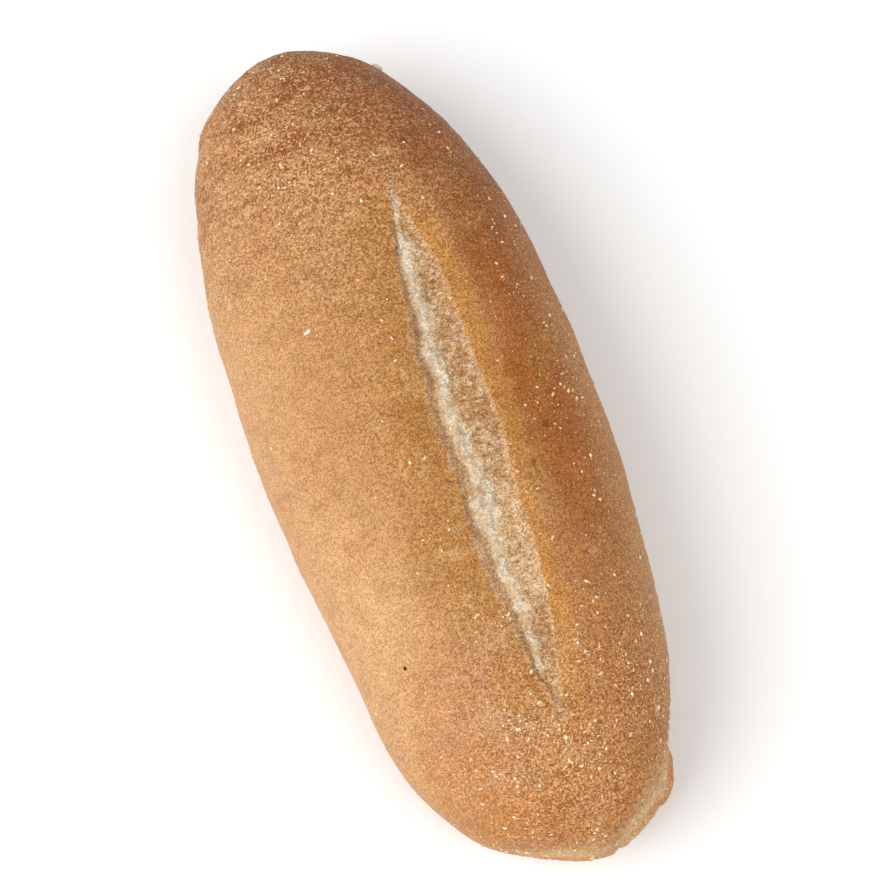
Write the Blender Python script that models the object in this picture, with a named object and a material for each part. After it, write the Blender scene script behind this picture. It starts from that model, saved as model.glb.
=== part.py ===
"""A long bread roll with one lengthwise slash, lying on its flat base.

Metres, with +Z up. X runs along the roll, from its whole end (-X) to the end whose side has split (+X).
Y runs across it. The origin lies on the surface the roll stands on, under the middle of the roll's box.
"""
import bmesh
import bpy
import numpy as np

# The whole roll
LENGTH = 0.2092
WIDTH = 0.0825
HEIGHT = 0.057
WIDEST_SHARE = 0.40          # share of the height where the roll is widest
PLAN_POWER = 2.35            # superellipse power of the outline seen from above
CROWN_POWER = 2.3            # power of the dome over the widest level
FOOT_POWER = 3.2             # power of the squarer half below that level
FOOT_CUT = 0.003             # depth that lying flat takes off the lower half

# Unevenness of the outline: each entry is (middle along X, reach along X, size)
SWELLS = ((0.037, 0.021, -0.035),    # share of the width gained, or lost where negative
          (-0.045, 0.030, 0.010),
          (-0.107, 0.008, -0.33),
          (0.106, 0.0065, -0.41))
BENDS = ((0.073, 0.025, -0.0015),    # sideways shift
         (-0.095, 0.020, -0.0012),
         (-0.107, 0.008, -0.0005),
         (0.106, 0.008, 0.0026))
LEFT_DENTS = ((-0.030, 0.009, 0.0009),   # how far the left flank is pressed in, or out where negative
              (0.080, 0.010, -0.0010),
              (0.052, 0.010, 0.0004))
RIGHT_DENTS = ((-0.089, 0.011, 0.0014),  # the same for the right flank
               (-0.047, 0.010, -0.0004),
               (-0.024, 0.007, 0.0005),
               (0.069, 0.009, -0.0006),
               (0.089, 0.006, 0.0009))
RIPPLE_HEIGHT = 0.0004               # soft waves over the crust
RIPPLE_LENGTH = 0.034

# The slash: a long opened cut, deepest along its left side, with a raised cut edge on its right.
# Lines through (X, Y) for its two edges, and through (X, share) for how open it is
SLASH_LEFT = ((-0.0590, 0.0114), (-0.0480, 0.0092), (-0.0445, 0.0077), (-0.0330, 0.0046), (-0.0190, 0.0028),
              (0.0010, -0.0002), (0.0320, -0.0022), (0.0540, 0.0000), (0.0685, 0.0028), (0.0785, 0.0023))
SLASH_RIGHT = ((-0.0590, 0.0118), (-0.0490, 0.0113), (-0.0370, 0.0138), (-0.0120, 0.0143), (0.0100, 0.0137),
               (0.0230, 0.0118), (0.0360, 0.0113), (0.0600, 0.0082), (0.0700, 0.0057), (0.0785, 0.0028))
SLASH_OPENNESS = ((-0.0590, 0.0), (-0.0480, 0.25), (-0.0420, 0.65), (-0.0250, 1.0), (0.0480, 1.0),
                  (0.0660, 0.6), (0.0785, 0.0))
SLASH_LEAST = 0.0012                 # least width left at the two points of the slash
SLASH_DEPTH = 0.0021
CREASE_SHARE = 0.16                  # place of the deepest line, as a share of the slash's width
SHOULDER_REACH = 0.008               # how far the left crust rolls over into the slash
SHOULDER_SHARE = 0.42                # share of the depth reached by that roll-over
LIP_HEIGHT = 0.0004                  # rise of the right cut edge
LIP_REACH = 0.005

# The split: the crust has torn low down around the +X end, over a rim of bottom crust. Lines through
# (degrees around the outline from +X towards +Y, value there): how open it is, and its upper edge's level
SPLIT_OPENING = ((-40, 0.0), (-25, 0.22), (-15, 0.45), (-3, 0.52), (5, 0.58), (8, 0.44), (12, 0.72),
                 (20, 0.85), (25, 0.84), (26, 1.13), (28, 1.17), (31, 1.10), (34.5, 0.88), (36.5, 0.60),
                 (38, 0.0))
SPLIT_TOP = ((-30, 0.0270), (-10, 0.0300), (8, 0.0300), (20, 0.0330), (30, 0.0334), (38, 0.0320))
SPLIT_FOOT = 0.003
SPLIT_REACH = 0.0034                 # how far the bottom crust stands out
SPLIT_PROFILE = ((0.0, 0.0), (0.10, 0.35), (0.23, 0.82), (0.35, 1.0), (0.47, 0.84), (0.58, 0.42),
                 (0.70, 0.12), (0.82, -0.04), (0.95, -0.05), (1.10, 0.0))

# Cells of the surface along X, Y and Z, and how much of each crown line its top face takes
CELLS = (52, 21, 15)
TOP_FACE_SHARES = (0.88, 0.76)
CELLS_LEFT_OF_SLASH = 9
CELLS_IN_SLASH = 5

CRUST_COLOR = (0.56, 0.28, 0.10, 1.0)
CRUST_ROUGHNESS = 0.6

HALF_LENGTH = LENGTH / 2
HALF_WIDTH = WIDTH / 2
WIDEST_LEVEL = HEIGHT * WIDEST_SHARE
CROWN_RISE = HEIGHT - WIDEST_LEVEL
FOOT_DROP = WIDEST_LEVEL + FOOT_CUT


def smooth_step(value):
    """Ease from 0 to 1 as value goes from 0 to 1."""
    t = np.clip(value, 0.0, 1.0)
    return t * t * (3.0 - 2.0 * t)


def hills(x, places):
    """Soft hills along X added up, each given as (middle, reach, size)."""
    return sum(size * np.exp(-((x - middle) / reach) ** 2) for middle, reach, size in places)


def along_line(value, knots):
    """Value read from a line through knots of (place, value)."""
    return np.interp(value, *zip(*knots))


def share_of_crown(ray):
    """Share of a crown line, from its middle, that a ray of this slope reaches."""
    return ray / (1.0 + np.abs(ray) ** CROWN_POWER) ** (1.0 / CROWN_POWER)


def ray_of_share(share):
    """Slope of the ray that reaches this share of a crown line."""
    return share / (1.0 - np.abs(share) ** CROWN_POWER) ** (1.0 / CROWN_POWER)


def plain_surface(u, v, w):
    """Points where rays (u, v, w) from the roll's middle meet the plain loaf form."""
    plan = (np.abs(u) ** PLAN_POWER + np.abs(v) ** PLAN_POWER) ** (1.0 / PLAN_POWER)
    power = np.where(w >= 0.0, CROWN_POWER, FOOT_POWER)
    scale = (plan ** power + np.abs(w) ** power) ** (-1.0 / power)
    rise = np.where(w >= 0.0, CROWN_RISE, FOOT_DROP)
    z = np.maximum(WIDEST_LEVEL + rise * w * scale, 0.0)
    return HALF_LENGTH * u * scale, HALF_WIDTH * v * scale, z


def crown_ray(x, y):
    """The ray (u, v, 1) that meets the plain crown over x, y."""
    along, across = x / HALF_LENGTH, y / HALF_WIDTH
    plan = (np.abs(along) ** PLAN_POWER + np.abs(across) ** PLAN_POWER) ** (1.0 / PLAN_POWER)
    rise = (1.0 - plan ** CROWN_POWER) ** (1.0 / CROWN_POWER)
    return along / rise, across / rise


def slash_edges(x):
    """Y of the slash's left and right edges."""
    left, right = along_line(x, SLASH_LEFT), along_line(x, SLASH_RIGHT)
    return left, np.maximum(right, left + SLASH_LEAST)


def slash_drop(x, y):
    """How far the crown sinks, or rises where negative, at and beside the slash."""
    left, right = slash_edges(x)
    across = (y - left) / (right - left)
    shoulder = SHOULDER_SHARE * (1.0 - smooth_step((left - y) / SHOULDER_REACH)) ** 1.5
    wall = SHOULDER_SHARE + (1.0 - SHOULDER_SHARE) * across / CREASE_SHARE
    slope = 1.0 - ((across - CREASE_SHARE) / (1.0 - CREASE_SHARE)).clip(0.0) ** 0.6
    depth = np.where(across < 0.0, shoulder, np.where(across < CREASE_SHARE, wall, slope))
    depth = np.where(across > 1.0, 0.0, depth)
    lip = np.where(across > 1.0, np.exp(-(y - right) / LIP_REACH), smooth_step((across - 0.8) / 0.2))
    return along_line(x, SLASH_OPENNESS) * (SLASH_DEPTH * depth - LIP_HEIGHT * lip)


def ripple(x, y):
    """Height of the soft waves over the crust."""
    phase = 2.0 * np.pi / RIPPLE_LENGTH
    return RIPPLE_HEIGHT * np.sin(phase * (x + 0.33 * y)) * np.cos(0.43 * phase * y)


def split_push(x, y, z):
    """How far the side moves out, or in where negative, at the split."""
    angle = np.degrees(np.arctan2(y / HALF_WIDTH, x / HALF_LENGTH))
    level = (z - SPLIT_FOOT) / (along_line(angle, SPLIT_TOP) - SPLIT_FOOT)
    return SPLIT_REACH * along_line(angle, SPLIT_OPENING) * along_line(level, SPLIT_PROFILE)


def box_grid(cells):
    """A cube from -1 to 1 whose edges are divided into the given numbers of cells."""
    bm = bmesh.new()
    bmesh.ops.create_cube(bm, size=2.0)
    for axis, count in enumerate(cells):
        along = [edge for edge in bm.edges
                 if abs(edge.verts[0].co[axis] - edge.verts[1].co[axis]) > 1.0]
        bmesh.ops.subdivide_edges(bm, edges=along, cuts=count - 1, use_grid_fill=True)
    return bm


def crown_columns(u, column):
    """Slopes across the crown for its columns, which run along the slash's edges and its crease."""
    x = np.linspace(-0.93, 0.93, 400) * HALF_LENGTH
    left, right = slash_edges(x)
    crease = left + CREASE_SHARE * (right - left)
    rails = [np.interp(u, *crown_ray(x, edge)) for edge in (left, crease, right)]
    side = TOP_FACE_SHARES[1]
    values = [-side] + [share_of_crown(rail) for rail in rails] + [side]
    counts = (0, CELLS_LEFT_OF_SLASH, CELLS_LEFT_OF_SLASH + 1,
              CELLS_LEFT_OF_SLASH + CELLS_IN_SLASH, CELLS[1])
    knots = [2.0 * count / CELLS[1] - 1.0 for count in counts]
    share = np.full_like(u, -side)
    for low, high, low_value, high_value in zip(knots, knots[1:], values, values[1:]):
        part = np.clip((column - low) / (high - low), 0.0, 1.0)
        share += part * (high_value - low_value)
    return ray_of_share(share)


def rays(grid):
    """Rays from the roll's middle for the points of the cube grid."""
    u = ray_of_share(TOP_FACE_SHARES[0] * grid[:, 0])
    plain = ray_of_share(TOP_FACE_SHARES[1] * grid[:, 1])
    shaped = crown_columns(u, grid[:, 1])
    v = plain + smooth_step(grid[:, 2]) * (shaped - plain)
    return u, v, grid[:, 2]


def roll_points(grid):
    """Points of the roll's surface for the points of the cube grid."""
    x, y, z = plain_surface(*rays(grid))
    crown = smooth_step((z - WIDEST_LEVEL) / (0.5 * CROWN_RISE))
    push = split_push(x, y, z)
    spread = np.hypot(x / HALF_LENGTH ** 2, y / HALF_WIDTH ** 2) + 1e-9
    out_x, out_y = x / HALF_LENGTH ** 2 / spread, y / HALF_WIDTH ** 2 / spread
    z = z - crown * slash_drop(x, y)
    z = z + ripple(x, y) * smooth_step(z / HEIGHT)
    left_side, right_side = (smooth_step((side * y / HALF_WIDTH - 0.35) / 0.6) for side in (-1.0, 1.0))
    y = (y + push * out_y) * (1.0 + hills(x, SWELLS)) + hills(x, BENDS)
    y = y + left_side * hills(x, LEFT_DENTS) - right_side * hills(x, RIGHT_DENTS)
    x = x + push * out_x
    return np.stack([x, y, z], axis=1)


def centred(points):
    """The points moved so that their box stands on the origin."""
    low, high = points.min(axis=0), points.max(axis=0)
    return points - [(low[0] + high[0]) / 2, (low[1] + high[1]) / 2, low[2]]


def crust_material():
    material = bpy.data.materials.new("crust")
    material.use_nodes = True
    shader = material.node_tree.nodes["Principled BSDF"]
    shader.inputs["Base Color"].default_value = CRUST_COLOR
    shader.inputs["Roughness"].default_value = CRUST_ROUGHNESS
    shader.inputs["Metallic"].default_value = 0.0
    material.diffuse_color = CRUST_COLOR
    return material


def make_roll(collection):
    bm = box_grid(CELLS)
    mesh = bpy.data.meshes.new("roll")
    bm.to_mesh(mesh)
    bm.free()
    grid = np.empty(len(mesh.vertices) * 3)
    mesh.vertices.foreach_get("co", grid)
    points = centred(roll_points(grid.reshape(-1, 3)))
    mesh.vertices.foreach_set("co", points.ravel())
    mesh.update()
    mesh.shade_smooth()
    mesh.materials.append(crust_material())
    roll = bpy.data.objects.new("roll", mesh)
    collection.objects.link(roll)
    return roll


def main():
    for item in list(bpy.data.objects):
        bpy.data.objects.remove(item, do_unlink=True)
    collection = bpy.data.collections.new("bread_roll")
    bpy.context.scene.collection.children.link(collection)
    make_roll(collection)


main()
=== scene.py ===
"""The looks of a long bread roll with one lengthwise slash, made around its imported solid.

The crust is one fine mesh over the same form as the solid. Grains and flakes of meal lie on it.
Everything is in metres: X runs along the roll to its split end, Y across it, and +Z is up.
"""
import math

import bmesh
import bpy
import numpy as np
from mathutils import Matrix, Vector


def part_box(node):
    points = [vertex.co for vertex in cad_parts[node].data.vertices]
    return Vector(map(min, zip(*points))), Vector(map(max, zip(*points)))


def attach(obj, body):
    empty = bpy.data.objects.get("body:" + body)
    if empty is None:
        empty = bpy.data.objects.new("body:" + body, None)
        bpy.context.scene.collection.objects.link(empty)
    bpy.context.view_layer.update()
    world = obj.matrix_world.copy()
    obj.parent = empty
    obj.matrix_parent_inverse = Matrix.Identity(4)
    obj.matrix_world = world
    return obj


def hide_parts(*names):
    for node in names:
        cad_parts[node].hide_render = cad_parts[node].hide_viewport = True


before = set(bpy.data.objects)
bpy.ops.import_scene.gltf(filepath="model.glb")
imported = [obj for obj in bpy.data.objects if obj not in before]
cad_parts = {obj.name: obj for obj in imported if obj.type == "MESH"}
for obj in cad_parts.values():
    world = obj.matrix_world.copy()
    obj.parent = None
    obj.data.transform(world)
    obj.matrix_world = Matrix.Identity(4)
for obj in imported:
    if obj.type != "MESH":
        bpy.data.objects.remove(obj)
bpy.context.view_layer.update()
ROLL_LOW, ROLL_HIGH = (np.array(corner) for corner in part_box("roll"))

# The plain form, as in the solid
LENGTH, WIDTH, HEIGHT = ROLL_HIGH - ROLL_LOW
WIDEST_SHARE = 0.40          # share of the height where the roll is widest
PLAN_POWER = 2.35            # superellipse power of the outline seen from above
CROWN_POWER = 2.3            # power of the dome over the widest level
FOOT_POWER = 3.2             # power of the squarer half below that level
FOOT_CUT = 0.003             # depth that lying flat takes off the lower half
HALF_LENGTH = LENGTH / 2
HALF_WIDTH = WIDTH / 2
WIDEST_LEVEL = HEIGHT * WIDEST_SHARE
CROWN_RISE = HEIGHT - WIDEST_LEVEL
FOOT_DROP = WIDEST_LEVEL + FOOT_CUT

# Unevenness of the outline: each entry is (middle along X, reach along X, size)
SWELLS = ((0.037, 0.021, -0.035),     # share of the width gained, or lost where negative
          (-0.045, 0.030, 0.010),
          (-0.107, 0.008, -0.33),
          (0.106, 0.0065, -0.41))
BENDS = ((0.073, 0.025, -0.0015),     # sideways shift
         (-0.095, 0.020, -0.0012),
         (-0.107, 0.008, -0.0005),
         (0.106, 0.0080, 0.0026))
LEFT_DENTS = ((-0.0300, 0.009, 0.0009),   # how far the left flank is pressed in, or out where negative
              (0.0800, 0.010, -0.0010),
              (-0.0165, 0.007, 0.0004),
              (0.0090, 0.006, 0.0004),
              (0.0520, 0.010, 0.0004))
RIGHT_DENTS = ((-0.0890, 0.011, 0.0014),
               (-0.0470, 0.010, -0.0004),
               (-0.0240, 0.007, 0.0005),
               (0.0690, 0.009, -0.0006),
               (0.0890, 0.006, 0.0009))

# The slash: lines through (X, Y) for its two edges, and how far its crease and its white band reach
# in from the left one at each X
SLASH_LEFT = ((-0.0590, 0.0112), (-0.0536, 0.0102), (-0.0480, 0.0089), (-0.0445, 0.0077), (-0.0330, 0.0046),
              (-0.0190, 0.0028), (-0.0120, 0.0013), (0.0010, -0.0002), (0.0250, -0.0012), (0.0320, -0.0024),
              (0.0400, -0.0018), (0.0540, 0.0000), (0.0650, 0.0015), (0.0685, 0.0030), (0.0785, 0.0023))
SLASH_RIGHT = ((-0.0590, 0.0118), (-0.0490, 0.0117), (-0.0450, 0.0124), (-0.0370, 0.0138),
               (-0.0120, 0.0143), (-0.0050, 0.0136), (0.0100, 0.0137), (0.0230, 0.0118), (0.0360, 0.0113),
               (0.0600, 0.0082), (0.0700, 0.0057), (0.0785, 0.0028))
CREASE_REACH = ((-0.0590, 0.0002), (-0.0480, 0.0004), (-0.0340, 0.0011), (-0.0220, 0.0022),
                (-0.0170, 0.0016), (-0.0080, 0.0027), (0.0040, 0.0022), (0.0180, 0.0034), (0.0255, 0.0010),
                (0.0330, 0.0034), (0.0470, 0.0026), (0.0600, 0.0014), (0.0785, 0.0003))
WHITE_REACH = ((-0.0590, 0.0004), (-0.0480, 0.0021), (-0.0445, 0.0017), (-0.0370, 0.0048),
               (-0.0220, 0.0063), (-0.0110, 0.0069), (-0.0070, 0.0060), (0.0060, 0.0070), (0.0250, 0.0088),
               (0.0340, 0.0066), (0.0470, 0.0066), (0.0600, 0.0036), (0.0680, 0.0012), (0.0785, 0.0003))
SLASH_OPENNESS = ((-0.0590, 0.0), (-0.0480, 0.25), (-0.0420, 0.65), (-0.0250, 1.0), (0.0480, 1.0),
                  (0.0660, 0.60), (0.0785, 0.0))
SLASH_LEAST = 0.0004                 # least width left at the two points of the slash
SLASH_DEPTH = 0.0021
SHOULDER_REACH = 0.008               # how far the left crust rolls over into the slash
SHOULDER_SHARE = 0.42                # share of the depth reached by that roll-over
LIP_HEIGHT = 0.0004                  # rise of the right cut edge
LIP_REACH = 0.005

# The split. Lines through (degrees around the outline from +X towards +Y, value there): how open it
# is, how fully the pale band and the golden rim of bottom crust show, and the level of the torn edge
SPLIT_OPENING = ((-40, 0.0), (-25, 0.22), (-15, 0.45), (-3, 0.52), (5, 0.58), (8, 0.44), (12, 0.72),
                 (20, 0.85), (25, 0.84), (26, 1.13), (28, 1.17), (31, 1.10), (34.5, 0.88), (36.5, 0.60),
                 (38, 0.0))
BAND_FULLNESS = ((-30, 0.6), (-16, 1.0), (-6, 0.9), (0, 0.55), (5, 0.45), (12, 0.9), (16, 1.0), (31, 1.0),
                 (37, 0.45))
RIM_FULLNESS = ((-30, 0.0), (-18, 0.8), (-2, 1.0), (5, 0.75), (13, 0.30), (20, 0.35), (25, 1.0), (38, 1.0),
                (40, 0.0))
SPLIT_TOP = ((-30, 0.0270), (-10, 0.0300), (8, 0.0300), (20, 0.0330), (30, 0.0334), (38, 0.0320))
SPLIT_FOOT = 0.003
SPLIT_REACH = 0.0034                 # how far the bottom crust stands out
SPLIT_PROFILE = ((0.0, 0.0), (0.10, 0.35), (0.23, 0.82), (0.35, 1.0), (0.47, 0.84), (0.58, 0.42),
                 (0.70, 0.12), (0.82, -0.04), (0.95, -0.05), (1.10, 0.0))

# Small pits in the crust: (X, Y, radius, depth)
PITS = ((0.0118, 0.0244, 0.0010, 0.0006), (0.0194, 0.0178, 0.0007, 0.0003))
# Brown smears, bronzed, lighter and floury places on it: (X, Y, reach along X, reach along Y)
SMEARS = ((-0.0857, -0.0043, 0.0009, 0.0024), (-0.0698, 0.0069, 0.0012, 0.0030),
          (-0.0605, 0.0196, 0.0007, 0.0010), (0.0600, 0.0030, 0.0014, 0.0008),
          (-0.0260, 0.0120, 0.0012, 0.0010), (-0.0468, 0.0074, 0.0017, 0.0011))
BRONZED = ((0.0060, -0.0045, 0.0110, 0.0040), (0.0300, -0.0115, 0.0100, 0.0070),
           (0.0100, 0.0170, 0.0120, 0.0030), (-0.0480, 0.0055, 0.0070, 0.0030))
LIT = ((0.0284, 0.0160, 0.0100, 0.0045), (-0.0476, 0.0165, 0.0090, 0.0050))
FLOURY = ((0.0536, -0.0045, 0.0030, 0.0028), (0.0330, -0.0075, 0.0012, 0.0050),
          (0.0831, 0.0012, 0.0018, 0.0016), (-0.0772, -0.0094, 0.0012, 0.0022),
          (-0.0640, 0.0120, 0.0016, 0.0040), (0.0700, -0.0130, 0.0020, 0.0030))
BLACK_SPECK = (0.0510, -0.0267, 0.0470)
BLACK_SPECK_RADIUS = 0.00060

# Cells of the fine crust: along X, up Z, and across the crown left of, in and right of the slash
CELLS_ALONG = 330
CELLS_UP = 42
CELLS_ACROSS = (54, 56, 38)
TOP_FACE_SHARES = (0.88, 0.76)
ROWS_UP = ((-1.0, -1.0), (-0.45, 0.0), (-0.30, 0.15), (0.45, 0.55), (1.0, 1.0))
CRUST_TRIANGLES = 194000


# ---- Small maths -----------------------------------------------------------------------------

def smooth_step(value):
    """Ease from 0 to 1 as value goes from 0 to 1."""
    t = np.clip(value, 0.0, 1.0)
    return t * t * (3.0 - 2.0 * t)


def ramp(value, start, end):
    """Ease from 0 at start to 1 at end."""
    return smooth_step((value - start) / (end - start))


def hills(x, places):
    """Soft hills along X added up, each given as (middle, reach, size)."""
    return sum(size * np.exp(-((x - middle) / reach) ** 2) for middle, reach, size in places)


def along_line(value, knots):
    """Value read from a line through knots of (place, value)."""
    return np.interp(value, *zip(*knots))


def lump_noise(points, size, seed):
    """Smooth noise from -1 to 1 whose lumps are about this size (one number, or one for each axis)."""
    table = np.random.default_rng(seed).uniform(-1.0, 1.0, 8192)
    cell = points / np.asarray(size)
    base = np.floor(cell).astype(np.int64)
    share = cell - base
    share = share * share * (3.0 - 2.0 * share)
    total = np.zeros(len(points))
    for corner in np.ndindex(2, 2, 2):
        place = base + corner
        key = place[:, 0] * 73856093 ^ place[:, 1] * 19349663 ^ place[:, 2] * 83492791
        weight = np.where(corner, share, 1.0 - share).prod(axis=1)
        total += table[key & 8191] * weight
    return total


def rough_noise(points, size, seed, octaves=3, fade=0.55):
    """Lump noise with finer and fainter layers on top, from about -1 to 1."""
    total, strength, whole = 0.0, 1.0, 0.0
    for layer in range(octaves):
        total = total + strength * lump_noise(points, np.asarray(size) / 2.03 ** layer, seed + layer)
        whole += strength
        strength *= fade
    return 1.6 * total / whole


def line_noise(x, size, seed):
    """Lump noise along a line."""
    points = np.zeros((len(x), 3))
    points[:, 0] = x
    return lump_noise(points, size, seed)


# ---- The roll's form -------------------------------------------------------------------------

def share_of_crown(ray):
    """Share of a crown line, from its middle, that a ray of this slope reaches."""
    return ray / (1.0 + np.abs(ray) ** CROWN_POWER) ** (1.0 / CROWN_POWER)


def ray_of_share(share):
    """Slope of the ray that reaches this share of a crown line."""
    return share / (1.0 - np.abs(share) ** CROWN_POWER) ** (1.0 / CROWN_POWER)


def plain_surface(u, v, w):
    """Points where rays (u, v, w) from the roll's middle meet the plain loaf form."""
    plan = (np.abs(u) ** PLAN_POWER + np.abs(v) ** PLAN_POWER) ** (1.0 / PLAN_POWER)
    power = np.where(w >= 0.0, CROWN_POWER, FOOT_POWER)
    scale = (plan ** power + np.abs(w) ** power) ** (-1.0 / power)
    rise = np.where(w >= 0.0, CROWN_RISE, FOOT_DROP)
    z = np.maximum(WIDEST_LEVEL + rise * w * scale, 0.0)
    return np.stack([HALF_LENGTH * u * scale, HALF_WIDTH * v * scale, z], axis=1)


def plain_normals(points):
    """Outward directions of the plain form at its points."""
    along, across = points[:, 0] / HALF_LENGTH, points[:, 1] / HALF_WIDTH
    up = points[:, 2] - WIDEST_LEVEL
    power = np.where(up >= 0.0, CROWN_POWER, FOOT_POWER)
    rise = np.where(up >= 0.0, CROWN_RISE, FOOT_DROP)
    plan = np.abs(along) ** PLAN_POWER + np.abs(across) ** PLAN_POWER + 1e-12
    sides = plan ** (power / PLAN_POWER - 1.0)
    normals = np.stack([
        sides * np.abs(along) ** (PLAN_POWER - 1.0) * np.sign(along) / HALF_LENGTH,
        sides * np.abs(across) ** (PLAN_POWER - 1.0) * np.sign(across) / HALF_WIDTH,
        (np.abs(up) / rise) ** (power - 1.0) * np.sign(up) / rise], axis=1)
    normals[points[:, 2] <= 0.0] = (0.0, 0.0, -1.0)
    return normals / np.linalg.norm(normals, axis=1, keepdims=True)


def crown_ray(x, y):
    """The ray (u, v, 1) that meets the plain crown over x, y."""
    along, across = x / HALF_LENGTH, y / HALF_WIDTH
    plan = (np.abs(along) ** PLAN_POWER + np.abs(across) ** PLAN_POWER) ** (1.0 / PLAN_POWER)
    rise = (1.0 - plan ** CROWN_POWER) ** (1.0 / CROWN_POWER)
    return along / rise, across / rise


def slash_strength(x):
    """How open the slash is: 0 at both points, 1 along its middle."""
    return along_line(x, SLASH_OPENNESS)


def slash_edges(x):
    """Y of the slash's left and right edges, which waver along its length."""
    waver = slash_strength(x)
    left = along_line(x, SLASH_LEFT) + 0.00032 * waver * line_noise(x, 0.0042, 12)
    right = along_line(x, SLASH_RIGHT) + 0.00042 * waver * line_noise(x, 0.0044, 14)
    return left, np.maximum(right, left + SLASH_LEAST)


def slash_places(points):
    """Way in from the slash's left edge and past its right one, and its crease's and white band's reach."""
    x, y = points[:, 0], points[:, 1]
    left, right = slash_edges(x)
    crease, white = along_line(x, CREASE_REACH), along_line(x, WHITE_REACH)
    return y - left, y - right, crease, np.minimum(white, right - left)


def outline_angle(points):
    """Degrees around the outline, from +X towards +Y."""
    return np.degrees(np.arctan2(points[:, 1] / HALF_WIDTH, points[:, 0] / HALF_LENGTH))


def split_level(points):
    """Height within the split: 0 at its foot and 1 at the torn crust's wavy edge."""
    top = along_line(outline_angle(points), SPLIT_TOP)
    wave = 0.0010 * rough_noise(points, 0.011, 31) + 0.0004 * lump_noise(points, 0.0028, 35)
    return (points[:, 2] + wave - SPLIT_FOOT) / (top - SPLIT_FOOT)


# ---- The crust's grid ------------------------------------------------------------------------

def box_grid(cells):
    """Lattice points on the surface of a box of cells, and the quads between them."""
    quads = []
    for axis in range(3):
        first, second = (axis + 1) % 3, (axis + 2) % 3
        i, j = np.meshgrid(np.arange(cells[first]), np.arange(cells[second]), indexing="ij")
        for side in (0, cells[axis]):
            corners = np.empty(i.shape + (4, 3), int)
            corners[..., axis] = side
            for corner, (di, dj) in enumerate(((0, 0), (1, 0), (1, 1), (0, 1))):
                corners[..., corner, first] = i + di
                corners[..., corner, second] = j + dj
            if side == 0:
                corners = corners[:, :, ::-1]
            quads.append(corners.reshape(-1, 4, 3))
    corners = np.concatenate(quads)
    lattice, index = np.unique(corners.reshape(-1, 3), axis=0, return_inverse=True)
    return 2.0 * lattice / np.array(cells) - 1.0, index.reshape(-1, 4)


def crown_columns(u, column):
    """Slopes across the crown for its columns, which run along the slash's two edges."""
    x = np.linspace(-0.93, 0.93, 1500) * HALF_LENGTH
    left, right = (np.interp(u, *crown_ray(x, edge)) for edge in slash_edges(x))
    side = TOP_FACE_SHARES[1]
    values = (-side, share_of_crown(left), share_of_crown(right), side)
    counts = np.concatenate([[0], np.cumsum(CELLS_ACROSS)])
    knots = 2.0 * counts / counts[-1] - 1.0
    share = np.full_like(u, -side)
    for low, high, low_value, high_value in zip(knots, knots[1:], values, values[1:]):
        part = np.clip((column - low) / (high - low), 0.0, 1.0)
        share += part * (high_value - low_value)
    return ray_of_share(share)


def crust_grid():
    """Points of the plain form on a fine grid, and the quads between them."""
    lattice, quads = box_grid((CELLS_ALONG, sum(CELLS_ACROSS), CELLS_UP))
    u = ray_of_share(TOP_FACE_SHARES[0] * lattice[:, 0])
    w = along_line(lattice[:, 2], ROWS_UP)
    plain = ray_of_share(TOP_FACE_SHARES[1] * lattice[:, 1])
    shaped = crown_columns(u, lattice[:, 1])
    v = plain + smooth_step(w) * (shaped - plain)
    return plain_surface(u, v, w), quads


# ---- Relief ----------------------------------------------------------------------------------

def slash_drop(points):
    """How far the crown sinks, or rises where negative, at and beside the slash."""
    inward, past, crease, white = slash_places(points)
    width = inward - past
    wall = SHOULDER_SHARE + (1.0 - SHOULDER_SHARE) * ramp(inward, 0.0, 0.9 * crease + 0.0002)
    ridge = 1.0 - 0.48 * ramp(inward, crease, crease + 0.0014)
    slope = 0.52 * (1.0 - ((inward - white) / (width - white + 1e-5)).clip(0.0, 1.0) ** 1.3)
    inside = np.where(inward < crease, wall, np.where(inward < white, ridge, np.minimum(ridge, slope)))
    shoulder = SHOULDER_SHARE * (1.0 - ramp(-inward, 0.0, SHOULDER_REACH)) ** 1.5
    drop = np.where(inward < 0.0, shoulder, np.where(past > 0.0, 0.0, inside))
    lip = np.where(past > 0.0, np.exp(-np.maximum(past, 0.0) / LIP_REACH), ramp(past, -0.0012, 0.0))
    torn = ramp(inward, 0.5 * crease, crease + 0.0006) * (1.0 - ramp(past, -0.0016, -0.0002))
    torn = torn * (1.0 - 0.40 * ramp(inward - white, -0.0004, 0.0012))
    lumps = 0.00055 * rough_noise(points, (0.0036, 0.0026, 0.003), 21)
    lumps = lumps + 0.00034 * rough_noise(points, 0.0014, 25)
    return slash_strength(points[:, 0]) * (SLASH_DEPTH * drop - LIP_HEIGHT * lip + torn * lumps)


def split_push(points):
    """How far the side moves out, or in where negative, at the split."""
    opening = along_line(outline_angle(points), SPLIT_OPENING)
    profile = along_line(split_level(points), SPLIT_PROFILE)
    ragged = 1.0 + 0.10 * rough_noise(points, 0.005, 33)
    return SPLIT_REACH * opening * profile * ragged


def pit_marks(points):
    """How deep in a pit each point is, from 0 to 1, and how far it sinks there."""
    depth, sink = np.zeros(len(points)), np.zeros(len(points))
    for x, y, radius, most in PITS:
        away = np.hypot(points[:, 0] - x, 0.8 * (points[:, 1] - y)) / radius
        inside = np.exp(-away ** 4) * (points[:, 2] > WIDEST_LEVEL)
        depth = np.maximum(depth, inside)
        sink = np.maximum(sink, most * inside)
    return depth, sink


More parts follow.
